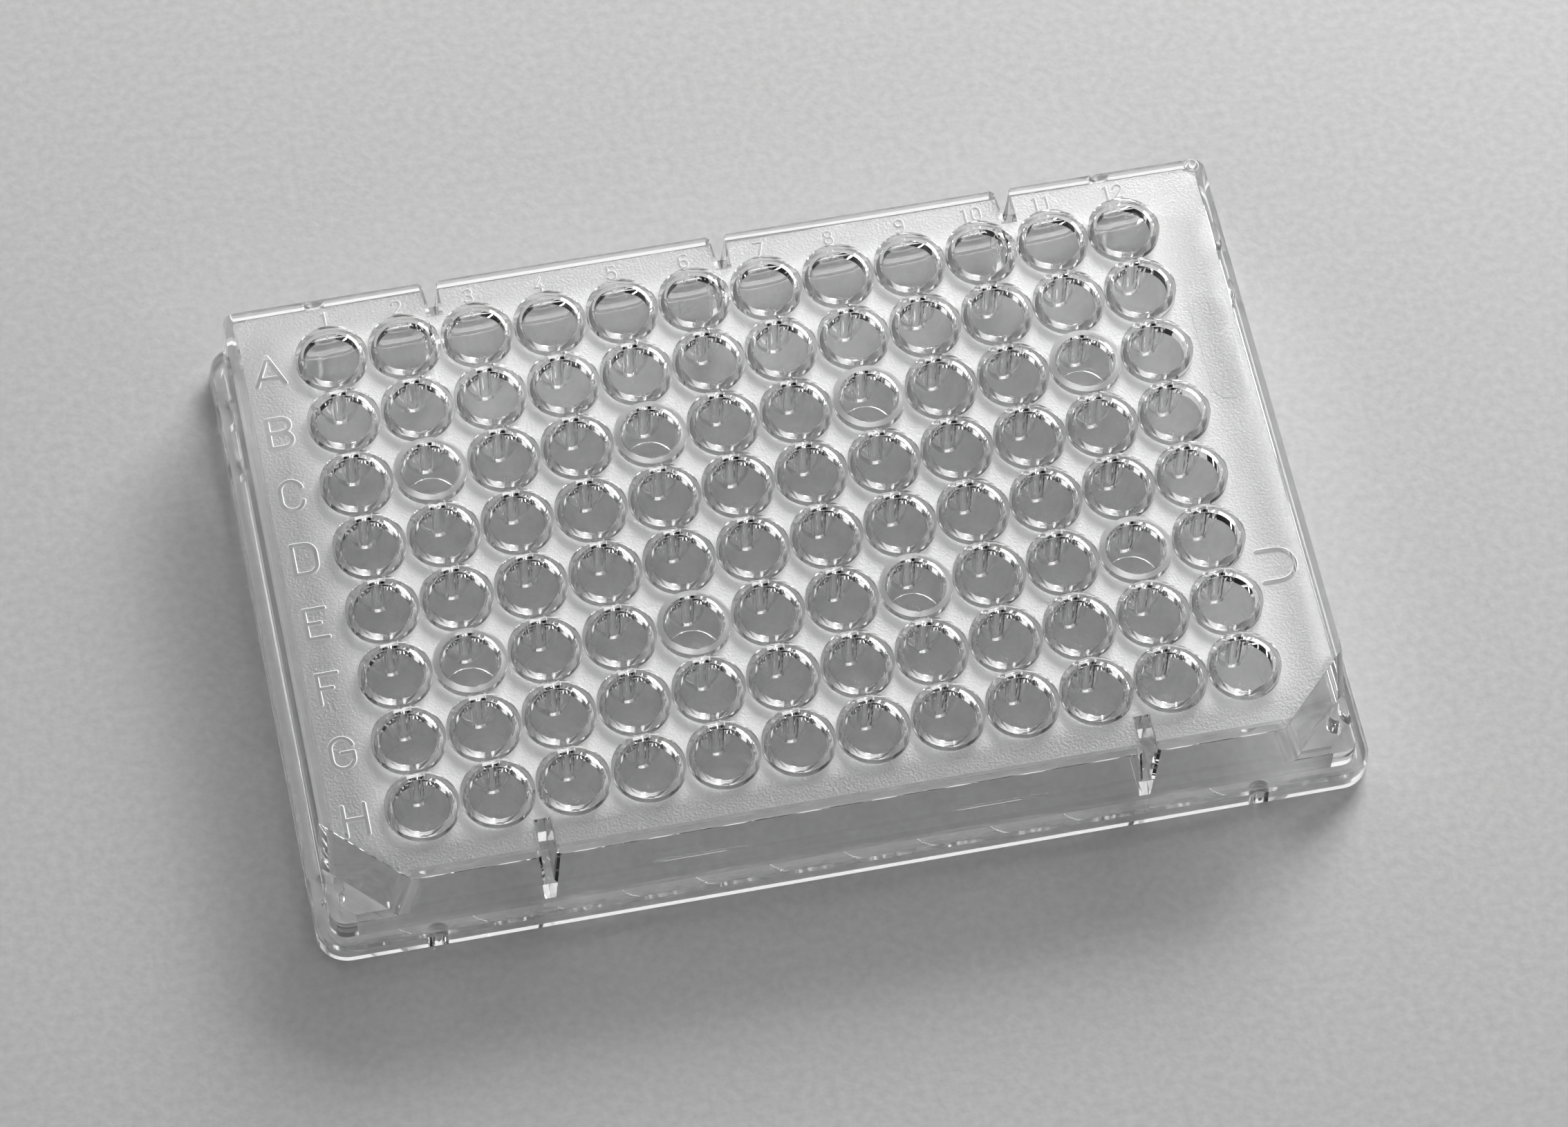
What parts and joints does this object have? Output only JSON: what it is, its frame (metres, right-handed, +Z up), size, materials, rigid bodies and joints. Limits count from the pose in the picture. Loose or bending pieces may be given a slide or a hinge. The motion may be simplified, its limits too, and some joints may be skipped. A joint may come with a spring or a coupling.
{
  "type": "well plate",
  "caption": "Clear laboratory well plate: a frosted deck with a grid of round-bottomed wells, a leaning wall with folds, cut front corners and a stepped skirt to stand on.",
  "frame": {"origin": "middle of the footprint, on the plane that the skirt stands on", "axes": "+X along a row from well 1 to well 12, +Y across the rows from row H to row A, +Z up out of the wells"},
  "size_m": [0.1278, 0.0854, 0.0144],
  "materials": {
    "clear_plastic": "clear moulded polystyrene, with a finely textured deck"
  },
  "bodies": {
    "root": {"plate": "clear_plastic"}
  },
  "joints": []
}
